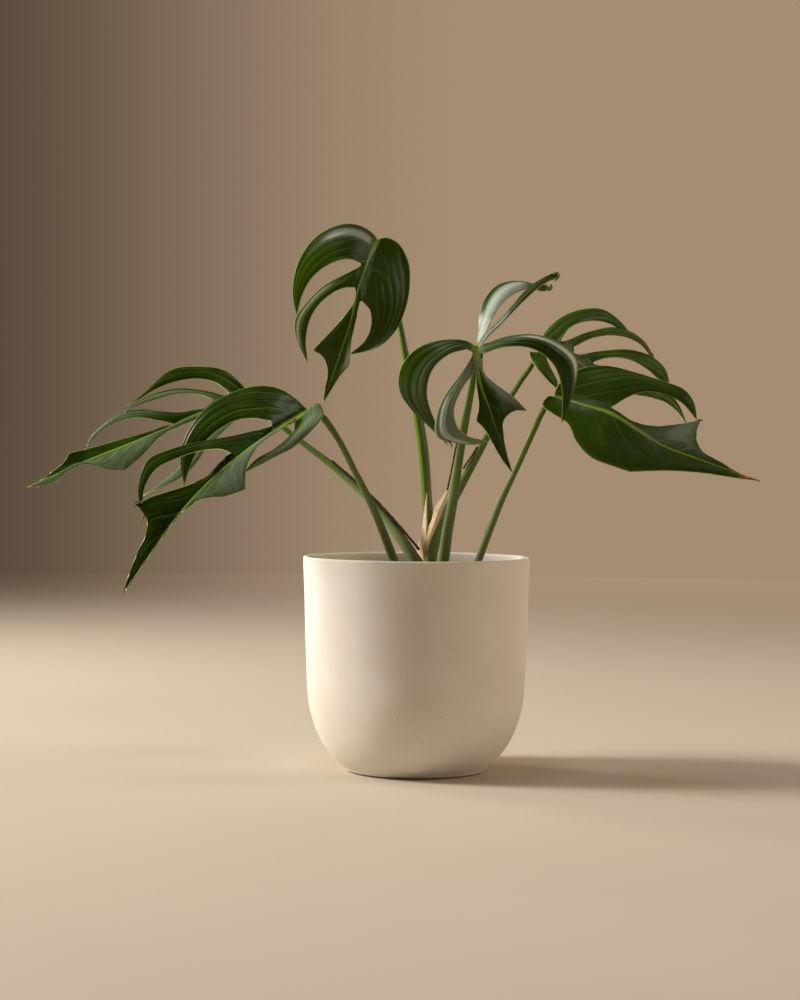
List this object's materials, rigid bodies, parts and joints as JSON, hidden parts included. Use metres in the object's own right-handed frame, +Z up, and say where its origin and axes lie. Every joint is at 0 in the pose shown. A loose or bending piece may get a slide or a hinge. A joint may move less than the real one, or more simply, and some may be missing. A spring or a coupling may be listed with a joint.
{
  "type": "potted philodendron",
  "caption": "Philodendron with deeply cut, arching leaves on long stalks, growing in a round matte ceramic pot.",
  "frame": {"origin": "centre of the pot's flat underside, on the pot's axis", "axes": "+Z up along the pot's axis, +X along the plant's widest spread, -Y towards the side that the middle leaf faces"},
  "size_m": [0.6518, 0.2255, 0.4781],
  "materials": {
    "pot": "matte cream ceramic with a very fine grain",
    "soil": "loose dark potting mix",
    "crown": "rough green-brown stem",
    "sheath": "dry papery tan",
    "stalk_top": "smooth satin green",
    "stalk_front_left": "smooth satin green",
    "stalk_back_left": "smooth satin green",
    "stalk_front": "smooth satin green",
    "stalk_back_right": "smooth satin green",
    "stalk_right": "smooth satin green",
    "blade_top": "glossy dark green top, paler matte underside",
    "blade_front_left": "glossy dark green top, paler matte underside",
    "blade_back_left": "glossy dark green top, paler matte underside",
    "blade_front": "glossy dark green top, paler matte underside",
    "blade_back_right": "glossy dark green top, paler matte underside",
    "blade_right": "glossy dark green top, paler matte underside"
  },
  "bodies": {
    "root": {"pot": "pot", "soil": "soil", "crown": "crown", "sheath": "sheath", "stalk_top": "stalk_top", "stalk_front_left": "stalk_front_left", "stalk_back_left": "stalk_back_left", "stalk_front": "stalk_front", "stalk_back_right": "stalk_back_right", "stalk_right": "stalk_right", "blade_top": "blade_top", "blade_front_left": "blade_front_left", "blade_back_left": "blade_back_left", "blade_front": "blade_front", "blade_back_right": "blade_back_right", "blade_right": "blade_right"}
  },
  "joints": []
}
